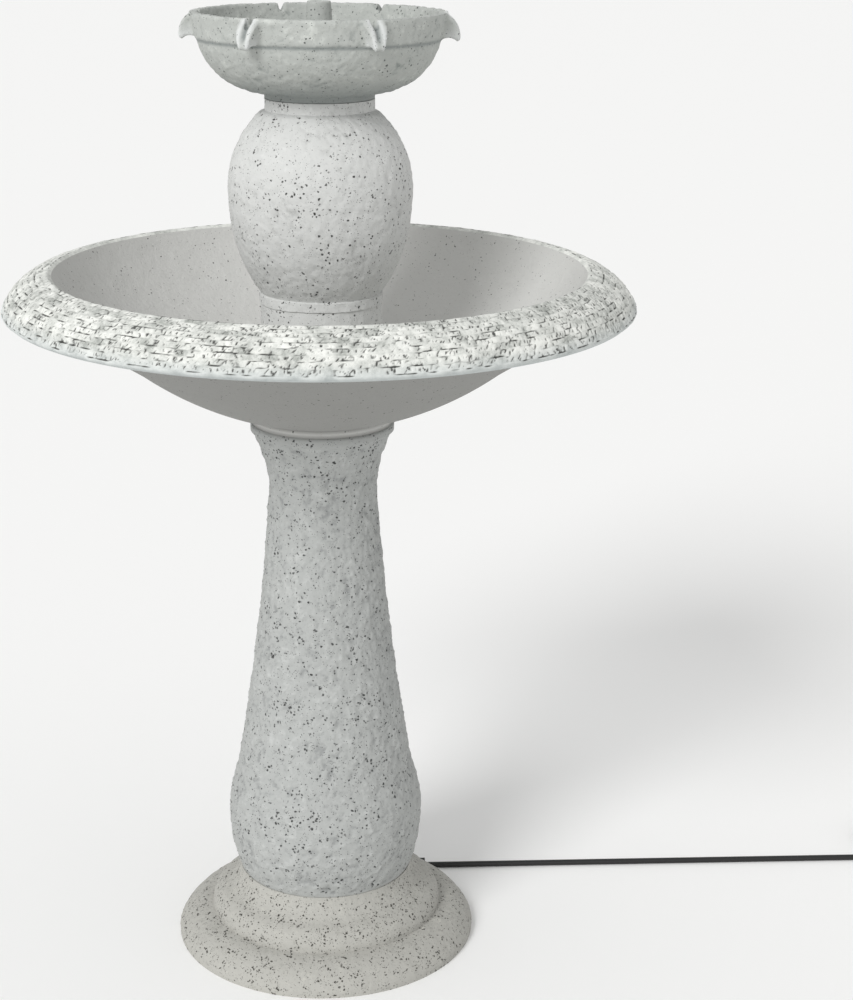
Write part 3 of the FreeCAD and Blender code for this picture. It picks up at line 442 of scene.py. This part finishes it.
# %% The map moves the rim's vertices and is kept for its paint
STROKE_DEPTH, RING_UNEVENNESS, RING_SLOPE = 1.2, 0.5, 0.8
EDGE_HOLD = 2.5
points = np.zeros(len(rim.data.vertices) * 3, np.float32)
normals = np.zeros_like(points)
rim.data.vertices.foreach_get("co", points)
rim.data.vertex_normals.foreach_get("vector", normals)
points, normals = points.reshape(-1, 3), normals.reshape(-1, 3)
reach = np.hypot(points[:, 0], points[:, 1])
seen = np.array([tuple(point) for point in drop_points])
gap = np.hypot(reach[:, None] - seen[None, :, 0], points[:, 2][:, None] - seen[None, :, 1])
row = gap.argmin(axis=1)
on_drop = gap.min(axis=1) < 0.1 * MM
column_of = np.round(np.arctan2(points[:, 1], points[:, 0]) / math.tau * RIM_STEPS).astype(int) % RIM_STEPS
held = np.minimum(1, np.minimum(drop_at, drop_at[-1] - drop_at) / EDGE_HOLD)
slope = 0.35 - RING_SLOPE * (drop_at / RING % 1)
height = (-STROKE_DEPTH * sunk + RING_UNEVENNESS * shade + slope[:, None]) * held[:, None]
moved = np.where(on_drop, height[row, column_of], 0)
points += normals * moved[:, None] * MM
rim.data.vertices.foreach_set("co", points.ravel())
for title, values in (("relief", moved), ("crevice", np.where(on_drop, sunk[row, column_of], 0)),
                      ("ring_shade", np.where(on_drop, shade[row, column_of], 0)),
                      ("drop", np.where(on_drop, drop_at[row] / drop_at[-1], points[:, 2] < 590 * MM))):
    layer = rim.data.attributes.new(title, "FLOAT", "POINT")
    layer.data.foreach_set("value", values.astype(np.float32))
rim.data.update()
shaded(rim, 60)
placed(rim, "fountain", "stone_bowl", "main_bowl")
print("rim moved by", round(float(moved.min()), 2), "to", round(float(moved.max()), 2), "mm")

# %% [markdown]
# ## The urn
#
# The urn stands over the pump like a sleeve. A ring marks where the sleeve ends and the belly starts, and the
# neck closes round the small bowl's spigot. Four low arches at its foot let the water back in.

# %% Urn
urn = turned("urn_casting", [
    (50, 484, 0, MIDDLE), (50, 576, 0, FINE), (51.2, 577, 0, FINE), (51.2, 584, 0, FINE), (49.5, 585, 0, FINE),
    (51, 587, 0.076, FINE), (74.5, 660, 0.12, FINE), (48.5, 731, 0, FINE), (44.5, 733, 0, FINE),
    (44.5, 742, 0, FINE), (38.5, 742, 0, COARSE), (38.5, 728, -0.11, COARSE), (69.5, 660, -0.07, COARSE),
    (45, 589, 0, COARSE), (45, 484, 0, COARSE), (50, 484, 0, COARSE),
], 300)
weathered(urn, lambda radius, z, facing, lift: (z > 500) & (z < 741) & (facing > 0),
          [(30, 1.3), (7, 1.3), (3.6, 1.2)])
cut_holes(urn, slab((-70, -11, 470), (70, 11, 496)), slab((-11, -70, 470), (11, 70, 496)))
shaded(urn, 35)
placed(urn, "urn_body", "stone_urn", "urn", "urn_sleeve")

# %% [markdown]
# ## The small pouring bowl
#
# Its six lips are set unevenly, so it isn't a turned shape. The engineering model already has the lips and the
# notches with sharp edges. A copy of that mesh is merged and remeshed in cells of 1.5 mm, which rounds the
# edges as a casting's are and gives the displacement something to work on.

# %% Pouring bowl
bpy.ops.object.select_all(action="DESELECT")
pouring = bpy.data.objects.new("pouring_bowl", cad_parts["top_bowl"].data.copy())
bpy.context.scene.collection.objects.link(pouring)
bpy.context.view_layer.objects.active = pouring
pouring.select_set(True)
bpy.ops.object.mode_set(mode="EDIT")
bpy.ops.mesh.select_all(action="SELECT")
bpy.ops.mesh.remove_doubles(threshold=MM / 1000)
bpy.ops.object.mode_set(mode="OBJECT")
pouring.data.materials.clear()
cells = pouring.modifiers.new("cells", "REMESH")
cells.mode = "VOXEL"
cells.voxel_size = 1.5 * MM
bpy.ops.object.modifier_apply(modifier=cells.name)
weathered(pouring, lambda radius, z, facing, lift: (z > 746) & (radius > 16) & (radius < 103),
          [(24, 1.2), (6, 1.0), (3.5, 0.8)])

# %% [markdown]
# ## The lips and their paint
#
# Water leaves over each lip in a shallow channel, and its edges are painted pale as painted highlight. The
# channel is carved by sinking the vertices near the middle of each lip. The same distances, kept as
# attributes, tell the paint where to lay painted shade, which is in the channels, round the foot and in the
# line under the band, and where to lay painted highlight.

# %% Channels down the lips
LIP_DIRECTIONS = (-31, 24, 86, 148, 199, 264)
WALL_RADIUS = 99
BAND_FOOT = 789
CHANNEL_HALF_WIDTH, CHANNEL_DEPTH, CHANNEL_END = 2.3, 2.4, 791
LIP_EDGE, EDGE_WIDTH = 4.2, 2.4
spots = np.zeros(len(pouring.data.vertices) * 3, np.float32)
ways = np.zeros_like(spots)
pouring.data.vertices.foreach_get("co", spots)
pouring.data.vertex_normals.foreach_get("vector", ways)
spots, ways = spots.reshape(-1, 3), ways.reshape(-1, 3)
out = np.hypot(spots[:, 0], spots[:, 1]) / MM
turn_of = np.degrees(np.arctan2(spots[:, 0], -spots[:, 1]))
aside = np.min([np.abs((turn_of - lip + 180) % 360 - 180) for lip in LIP_DIRECTIONS], axis=0)
aside = out * np.sin(np.radians(np.minimum(aside, 90)))
on_lip = np.clip((out - WALL_RADIUS) / 2.5, 0, 1) * (aside < 12)
above_end = np.clip((spots[:, 2] / MM - CHANNEL_END) / 6, 0, 1)
channel = on_lip * np.exp(-(aside / CHANNEL_HALF_WIDTH) ** 2) * above_end
edges = on_lip * np.exp(-((aside - LIP_EDGE) / EDGE_WIDTH) ** 2)
spots -= ways * (channel * CHANNEL_DEPTH * MM)[:, None]
pouring.data.vertices.foreach_set("co", spots.ravel())
print("deepest channel is", round(float(channel.max()) * CHANNEL_DEPTH, 1), "mm")

# %% Painted shade and painted highlight on the pouring bowl
FOOT_TOP, FOOT_FADE = 764, 14
# Painted shade darkens the foot, where the bowl curves in under itself.
foot = np.clip((FOOT_TOP - spots[:, 2] / MM) / FOOT_FADE, 0, 1) * (out > 40)
# A line of painted shadow lies under the band.
line_below = np.exp(-((spots[:, 2] / MM - BAND_FOOT) / 1.4) ** 2) * (out > 92) * (1 - on_lip)
# The channels get painted shade as well.
painted_shade_share = np.maximum(np.maximum(0.55 * foot, 0.7 * line_below), 0.8 * channel)
# The lip edges get painted highlight, except in the channels.
for title, values in (("painted_shade", painted_shade_share), ("painted_highlight", 0.6 * edges * (1 - channel))):
    pouring.data.attributes.new(title, "FLOAT", "POINT").data.foreach_set("value", values.astype(np.float32))
pouring.data.update()
shaded(pouring, 70)
placed(pouring, "dish_body", "stone_dish", "top_bowl")
print("pouring bowl has", len(pouring.data.polygons), "faces")

# %% [markdown]
# ## Painted cast stone
#
# Cast resin stone is polyester filled with marble dust. It is matt, with a faint sheen on worn spots, and the
# maker dabs darker and lighter paint over it. The colour also follows the relief that was carved, as painted
# shade in the pits and painted highlight on the ridges. Broad clouds vary it, and black grit shows as specks of
# one or two millimetres.

# %% Helpers for materials
def linear(code):
    """An sRGB hex colour as the linear colour a shader wants."""
    parts = [int(code[at:at + 2], 16) / 255 for at in (1, 3, 5)]
    return (*[part / 12.92 if part <= 0.04045 else ((part + 0.055) / 1.055) ** 2.4 for part in parts], 1)


def add(tree, kind, links=(), inputs=(), stops=(), **settings):
    """Adds a node with its settings, inputs and (place, hex) stops, and links other nodes' outputs to it."""
    node = tree.nodes.new("ShaderNode" + kind)
    for title, value in settings.items():
        setattr(node, title, value)
    for title, value in dict(inputs).items():
        node.inputs[title].default_value = value
    for title, source in dict(links).items():
        tree.links.new(source, node.inputs[title])
    if stops:
        elements = node.color_ramp.elements
        while len(elements) < len(stops):
            elements.new(0.5)
        for element, (place, code) in zip(elements, stops):
            element.position = place
            element.color = linear(code)
    return node


def new_material(name):
    """An empty material with its node tree and shader, and the position on the piece."""
    material = bpy.data.materials.new(name)
    material.use_nodes = True
    tree = material.node_tree
    shader = tree.nodes["Principled BSDF"]
    return material, tree, shader, add(tree, "TexCoord").outputs["Object"]


# 949491 is the usual colour of the painted shade.
print("mid grey of the wash is", [round(part, 3) for part in linear("#949491")])

# %% Paint that follows the relief
PAINT_GRAIN = 4.5 * MM
# The colour of the painted highlight on the lip edges.
PAINTED_HIGHLIGHT = "#e6e8e8"


def relief_paint(tree, position, fine, tones, patch_mm, depth, painted_shade):
    """Painted shade in pits, painted highlight on ridges, varied by clouds and fine grain, then more of each.
    """
    pit, body, ridge = tones
    clouds = add(tree, "TexNoise", {"Vector": position},
                 {"Scale": 1 / (patch_mm * MM), "Detail": 4, "Roughness": 0.6})
    # The relief lays painted shade in the pits and painted highlight on the ridges.
    relief = add(tree, "Attribute", attribute_name="relief")
    lifted = add(tree, "MapRange", {"Value": relief.outputs["Fac"]}, {"From Min": -depth, "From Max": depth})
    both = add(tree, "Math", {0: clouds.outputs["Fac"], 2: fine.outputs["Fac"]}, {1: 0.5},
               operation="MULTIPLY_ADD")
    tone = add(tree, "Math", {0: lifted.outputs["Result"], 2: both.outputs["Value"]}, {1: 1.2},
               operation="MULTIPLY_ADD")
    # The three shares add up to 2.7, and the ramp wants 0 to 1.
    scaled = add(tree, "Math", {0: tone.outputs["Value"]}, {1: 1 / 2.7}, operation="MULTIPLY")
    paint = add(tree, "ValToRGB", {"Fac": scaled.outputs["Value"]},
                stops=((0.34, pit), (0.46, body), (0.54, body), (0.68, ridge))).outputs["Color"]
    # Where the attributes ask, painted shade darkens the paint and painted highlight pales it.
    for title, colour in (("painted_shade", painted_shade), ("painted_highlight", PAINTED_HIGHLIGHT)):
        share = add(tree, "Attribute", attribute_name=title)
        paint = add(tree, "MixRGB", {"Fac": share.outputs["Fac"], "Color1": paint},
                    {"Color2": linear(colour)}).outputs["Color"]
    return paint


print("paint grain of", PAINT_GRAIN / MM, "mm")

# %% Black grit
GRIT_RAGGED = 3 * MM


def gritty(tree, position, paint, grit, grit_mm, grit_share):
    """Two sizes of black grit over the paint, in clusters, each speck with a ragged edge."""
    shift = add(tree, "TexNoise", {"Vector": position}, {"Scale": 1 / (2.5 * MM), "Detail": 2})
    push = add(tree, "VectorMath", {0: shift.outputs["Color"], 2: position},
               {1: (GRIT_RAGGED, GRIT_RAGGED, GRIT_RAGGED)}, operation="MULTIPLY_ADD")
    coat = paint
    for cell, share in ((grit_mm, grit_share), (grit_mm * 0.45, grit_share * 0.85)):
        cells = add(tree, "TexVoronoi", {"Vector": push.outputs["Vector"]},
                    {"Scale": 1 / (cell * MM), "Randomness": 1})
        sparse = add(tree, "TexNoise", {"Vector": position}, {"Scale": 1 / (2.6 * cell * MM), "Detail": 2})
        speck = add(tree, "MapRange", {"Value": sparse.outputs["Fac"]},
                    {"From Min": 0.38, "From Max": 0.62, "To Min": 0, "To Max": share})
        spots = add(tree, "MapRange", {"Value": cells.outputs["Distance"], "From Max": speck.outputs["Result"]},
                    {"From Min": 0, "To Min": 2.2, "To Max": 0})
        coat = add(tree, "MixRGB", {"Fac": spots.outputs["Result"], "Color1": coat},
                   {"Color2": linear(grit)}).outputs["Color"]
    return coat


print("specks have edges ragged by up to", GRIT_RAGGED / MM, "mm")

# %% Cast stone
PAINT_ROUGHNESS = 0.82


def cast_stone(name, tones, grit, patch_mm, grit_mm, grit_share, depth, painted_shade="#949491"):
    """Painted cast stone: tones of pit, body and ridge, then grit. All sizes are in millimetres."""
    material, tree, shader, position = new_material(name)
    fine = add(tree, "TexNoise", {"Vector": position},
               {"Scale": 1 / PAINT_GRAIN, "Detail": 5, "Roughness": 0.7})
    # The painted shade's colour is handed on to the paint.
    paint = relief_paint(tree, position, fine, tones, patch_mm, depth, painted_shade)
    coat = gritty(tree, position, paint, grit, grit_mm, grit_share)
    bump = add(tree, "Bump", {"Height": fine.outputs["Fac"]}, {"Strength": 0.8, "Distance": 0.9 * MM})
    tree.links.new(coat, shader.inputs["Base Color"])
    tree.links.new(bump.outputs["Normal"], shader.inputs["Normal"])
    shader.inputs["Roughness"].default_value = PAINT_ROUGHNESS
    return material


# The base is a shade browner than the other castings, and its grit is dense.
base_stone = cast_stone("cast_stone_base", ("#96958e", "#b0afa9", "#c2c1b9"), "#37352f", 34, 2.9, 0.44, 1.4)
# The column is a neutral grey, with painted shade in the pits of its stipple.
column_stone = cast_stone("cast_stone_column", ("#949695", "#abadab", "#b9bbb9"), "#363736", 36, 3.6, 0.38, 1.6)
# The bowl is pale and even, and little grit shows in it.
dish_stone = cast_stone("cast_stone_bowl", ("#bfbfbc", "#c9c9c6", "#d0d0cd"), "#3d3d3b", 60, 4.6, 0.2, 1.6)
# The urn is the palest casting, and its grit stands out.
urn_stone = cast_stone("cast_stone_urn", ("#b6b7b5", "#cdcecc", "#d8d9d7"), "#30302e", 40, 3.8, 0.32, 1.6)
# The pouring bowl is a faintly greenish grey, with bluer painted shade in its channels and round its foot.
pouring_stone = cast_stone("cast_stone_pouring_bowl", ("#8f9491", "#b3b6b2", "#cdd0cb"), "#454a48", 24, 3.6,
                           0.28, 1.3, "#737a7a")
print("five cast stones, of roughness", PAINT_ROUGHNESS)

# %% [markdown]
# ## The chipped stone of the rim
#
# The rim is the same cast resin. Its chipped faces are painted almost white, and its grooves and strokes get
# painted shade. The map that carved it says where they are. Its grain makes the edge of each groove ragged.

# %% Slate look of the rim
def chipped_stone():
    """Pale chipped faces, bluish low on the drop, with painted shade in grooves and strokes."""
    material, tree, shader, position = new_material("cast_stone_chipped_rim")
    grain = add(tree, "TexNoise", {"Vector": position}, {"Scale": 1 / (3 * MM), "Detail": 5, "Roughness": 0.75})
    patches = add(tree, "TexNoise", {"Vector": position}, {"Scale": 1 / (16 * MM), "Detail": 3})
    ring_shade = add(tree, "Attribute", attribute_name="ring_shade")
    mixed = add(tree, "Math", {0: grain.outputs["Fac"], 1: patches.outputs["Fac"]}, operation="ADD")
    toned = add(tree, "Math", {0: ring_shade.outputs["Fac"], 2: mixed.outputs["Value"]}, {1: 0.28},
                operation="MULTIPLY_ADD")
    half = add(tree, "Math", {0: toned.outputs["Value"]}, {1: 0.5}, operation="MULTIPLY")
    pale = add(tree, "ValToRGB", {"Fac": half.outputs["Value"]},
               stops=((0.33, "#a4a7a2"), (0.46, "#cdcfca"), (0.62, "#eaebe6"))).outputs["Color"]
    drop = add(tree, "Attribute", attribute_name="drop")
    low = add(tree, "MapRange", {"Value": drop.outputs["Fac"]},
              {"From Min": 0.7, "From Max": 0.95, "To Max": 0.75})
    bluish = add(tree, "MixRGB", {"Fac": low.outputs["Result"], "Color1": pale}, {"Color2": linear("#b9c0c1")})
    # Painted shade in the grooves and strokes, with ragged edges.
    crevice = add(tree, "Attribute", attribute_name="crevice")
    ragged = add(tree, "Math", {0: grain.outputs["Fac"], 2: crevice.outputs["Fac"]}, {1: 0.35},
                 operation="MULTIPLY_ADD")
    dark = add(tree, "MapRange", {"Value": ragged.outputs["Value"]}, {"From Min": 0.55, "From Max": 0.95})
    coat = add(tree, "MixRGB", {"Fac": dark.outputs["Result"], "Color1": bluish.outputs["Color"]},
               {"Color2": linear("#4a4b48")})
    bump = add(tree, "Bump", {"Height": grain.outputs["Fac"]}, {"Strength": 0.5, "Distance": 0.5 * MM})
    tree.links.new(coat.outputs["Color"], shader.inputs["Base Color"])
    tree.links.new(bump.outputs["Normal"], shader.inputs["Normal"])
    shader.inputs["Roughness"].default_value = 0.8
    return material


rim_stone = chipped_stone()
for piece, material in ((base, base_stone), (column, column_stone), (dish, dish_stone), (rim, rim_stone),
                        (urn, urn_stone), (pouring, pouring_stone)):
    piece.data.materials.clear()
    piece.data.materials.append(material)
    print(piece.name, "is painted with", material.name)

# %% [markdown]
# ## Rubber, plastic, metal and foam
#
# The other parts are bought in. Each finish starts from what the part is really made of. A mould leaves a
# fine even grain on plastic, zinc plating is slightly cloudy, and a cable jacket is extruded PVC with a soft
# sheen. Every one gets its colour varied by noise and a bump of its own grain. The real grain of a moulding,
# a plating or a ground magnet is finer than a tenth of a millimetre, so those are drawn coarser, at the sizes
# given here.

# %% A finish of one colour with grain
def grained(name, dark, light, grain_mm, depth_mm, roughness, metallic=0, kind="TexNoise"):
    """A finish that varies between two near colours, with a bump of the same grain."""
    material, tree, shader, position = new_material(name)
    grain = add(tree, kind, {"Vector": position}, {"Scale": 1 / (grain_mm * MM)})
    source = grain.outputs["Fac" if kind == "TexNoise" else "Distance"]
    colour = add(tree, "ValToRGB", {"Fac": source}, stops=((0.3, dark), (0.7, light)))
    tree.links.new(colour.outputs["Color"], shader.inputs["Base Color"])
    bump = add(tree, "Bump", {"Height": source}, {"Strength": 0.6, "Distance": depth_mm * MM})
    tree.links.new(bump.outputs["Normal"], shader.inputs["Normal"])
    shader.inputs["Roughness"].default_value = roughness
    shader.inputs["Metallic"].default_value = metallic
    return material


cable_jacket = grained("pvc_cable_jacket", "#161616", "#202020", 1.2, 0.05, 0.42)
print("first finish is", cable_jacket.name)

# %% Finishes and the engineering nodes that wear them
FINISHES = {
    # Extruded PVC is black, with a soft highlight along its length.
    cable_jacket: ["inner_cable"],
    # Moulded nitrile rubber is dull and charcoal black, with hardly a highlight.
    grained("nitrile_rubber", "#191918", "#252524", 0.8, 0.06, 0.7):
        ["bowl_washers", "cord_bush", "cable_stopper", "shaft_bushes", "suction_cups", "pump_gland"],
    # Injection-moulded ABS is black with the fine even grain of its tool.
    grained("moulded_abs_black", "#141516", "#1e1f20", 0.6, 0.04, 0.48):
        ["pump_body", "pump_back_cover", "pump_chamber", "outlet_adapter", "pump_strainer"],
    # Moulded acetal is a waxy mid grey and slightly slick.
    grained("moulded_acetal_grey", "#5d6061", "#6c6f70", 0.7, 0.03, 0.4): ["spout_tube", "impeller"],
    # The dial's ABS is coloured blue, so that the hand finds it in the pump.
    grained("moulded_abs_dial", "#2f4a63", "#385673", 0.6, 0.03, 0.4): ["flow_dial"],
    # Zinc plating is bright but slightly cloudy.
    grained("zinc_plated_steel", "#9fa2a3", "#b9bcbd", 2.5, 0.02, 0.35, 1):
        ["base_bolts", "base_washers", "bowl_bolts"],
    # Turned brass is yellow and bright, with fine tool marks.
    grained("turned_brass", "#9c7b3c", "#b8954f", 0.5, 0.02, 0.3, 1):
        ["base_inserts", "bowl_inserts", "connector_pins"],
    # Vinyl hose is pale and glossy. It is drawn opaque, because nothing inside it has to show.
    grained("clear_vinyl_hose", "#c3c9c6", "#d3d8d5", 3, 0.03, 0.22): ["hose"],
    # Open-cell foam is a dull black net of cells about a millimetre wide.
    grained("open_cell_foam", "#1b1c1b", "#343635", 1.1, 0.5, 0.95, kind="TexVoronoi"): ["pump_filter"],
    # Sintered ferrite is a dark grey ceramic with a faint metallic sheen.
    grained("sintered_ferrite", "#2c2b2c", "#3b3a3b", 0.4, 0.03, 0.55, 0.3): ["rotor_magnet"],
    # Stamped and ground steel is a plain bright grey.
    grained("laminated_steel", "#76787a", "#8d9092", 0.5, 0.05, 0.4, 1): ["stator_core", "impeller_shaft"],
    # Enamelled copper is red-brown and shiny, with ridges half a millimetre apart.
    grained("enamelled_copper", "#8c4a22", "#b46534", 0.45, 0.12, 0.3, 1): ["stator_winding"],
    # Moulded nylon is black and a little duller than ABS.
    grained("moulded_nylon_black", "#171717", "#232323", 0.7, 0.04, 0.5):
        ["hose_clip", "coil_tie", "connector_body", "connector_nut"],
}
for finish, nodes in FINISHES.items():
    for node in nodes:
        held_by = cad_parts[node]
        held_by.data.materials.clear()
        held_by.data.materials.append(finish)
line.materials.clear()
line.materials.append(cable_jacket)
print(len(FINISHES), "bought-in finishes on", sum(len(nodes) for nodes in FINISHES.values()), "nodes")

# %% [markdown]
# ## Studio
#
# A plain pale floor runs far past the camera's view, so no horizon shows there, though a lower view sees the
# floor's far edge. A broad soft lamp from the upper left front models the round shapes, and an even white
# surround fills the shadows.

# %% Floor
FLOOR_SIDE = 80
bpy.ops.object.select_all(action="DESELECT")
bpy.ops.mesh.primitive_plane_add(size=FLOOR_SIDE)
floor = bpy.context.object
floor.name = "studio_floor"
floor_finish, floor_tree, floor_shader, _ = new_material("studio_floor_paint")
floor_shader.inputs["Base Color"].default_value = linear("#f7f7f6")
floor_shader.inputs["Roughness"].default_value = 0.9
floor.data.materials.append(floor_finish)
print("floor of", FLOOR_SIDE, "m")

# %% Lamp and surround
LAMP_ENERGY, LAMP_SOFTNESS = 1.9, 24
LAMP_FROM = Vector((-0.7, -1, 0.8))
SURROUND_STRENGTH = 0.66
lamp = bpy.data.objects.new("soft_lamp", bpy.data.lights.new("soft_lamp", "SUN"))
lamp.data.energy = LAMP_ENERGY
lamp.data.angle = math.radians(LAMP_SOFTNESS)
lamp.rotation_euler = LAMP_FROM.to_track_quat("Z", "Y").to_euler()
bpy.context.scene.collection.objects.link(lamp)

surround = bpy.data.worlds.new("white_surround")
surround.use_nodes = True
surround.node_tree.nodes["Background"].inputs["Color"].default_value = (1, 1, 1, 1)
surround.node_tree.nodes["Background"].inputs["Strength"].default_value = SURROUND_STRENGTH
bpy.context.scene.world = surround
bpy.context.scene.view_settings.view_transform = "Standard"
print("lamp", LAMP_SOFTNESS, "degrees wide, surround at", SURROUND_STRENGTH)
